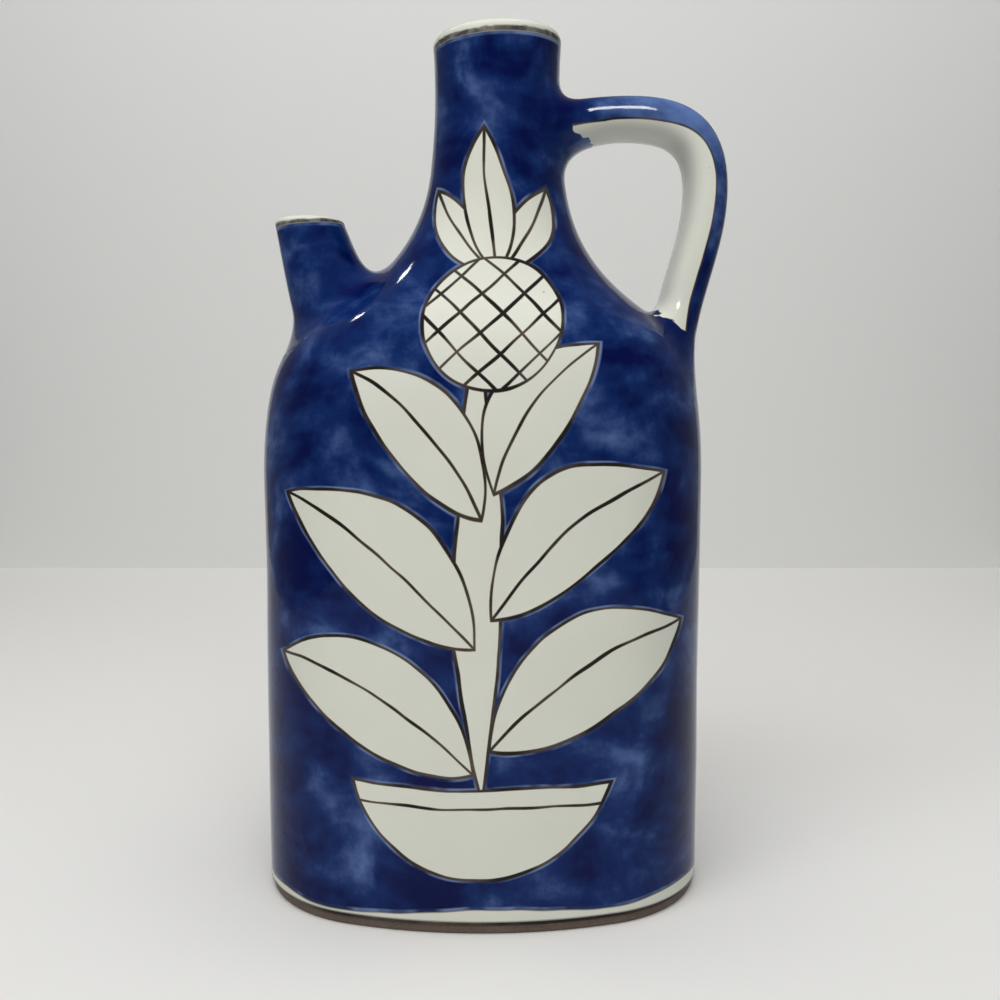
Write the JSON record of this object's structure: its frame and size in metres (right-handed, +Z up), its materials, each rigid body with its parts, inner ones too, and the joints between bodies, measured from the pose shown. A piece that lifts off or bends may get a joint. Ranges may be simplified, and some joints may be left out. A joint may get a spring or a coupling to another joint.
{
  "type": "ceramic pitcher",
  "caption": "Hand-built oval earthenware pitcher with a tall tube neck, a leaning shoulder spout and an arched strap handle, in glossy blue and white glaze.",
  "frame": {"origin": "middle of the oval foot, on the surface that the pitcher stands on", "axes": "+Z up the neck, +X towards the handle, -X towards the spout, -Y is the front"},
  "size_m": [0.1706, 0.107, 0.3115],
  "materials": {
    "cobalt_glaze": "glossy brushed cobalt-blue glaze over white, with brown-black line work",
    "tin_glaze": "glossy warm-white glaze",
    "bare_clay": "matt fired clay under a dark brown foot line"
  },
  "bodies": {
    "root": {"base_slab": "bare_clay", "base_coil": "tin_glaze", "body_wall": "cobalt_glaze", "shoulder": "cobalt_glaze", "neck": "cobalt_glaze", "neck_rim": "tin_glaze", "spout": "cobalt_glaze", "spout_rim": "tin_glaze", "spout_saddle": "cobalt_glaze", "handle_strap": "cobalt_glaze", "handle_top_luting": "cobalt_glaze", "handle_foot_luting": "cobalt_glaze"}
  },
  "joints": []
}
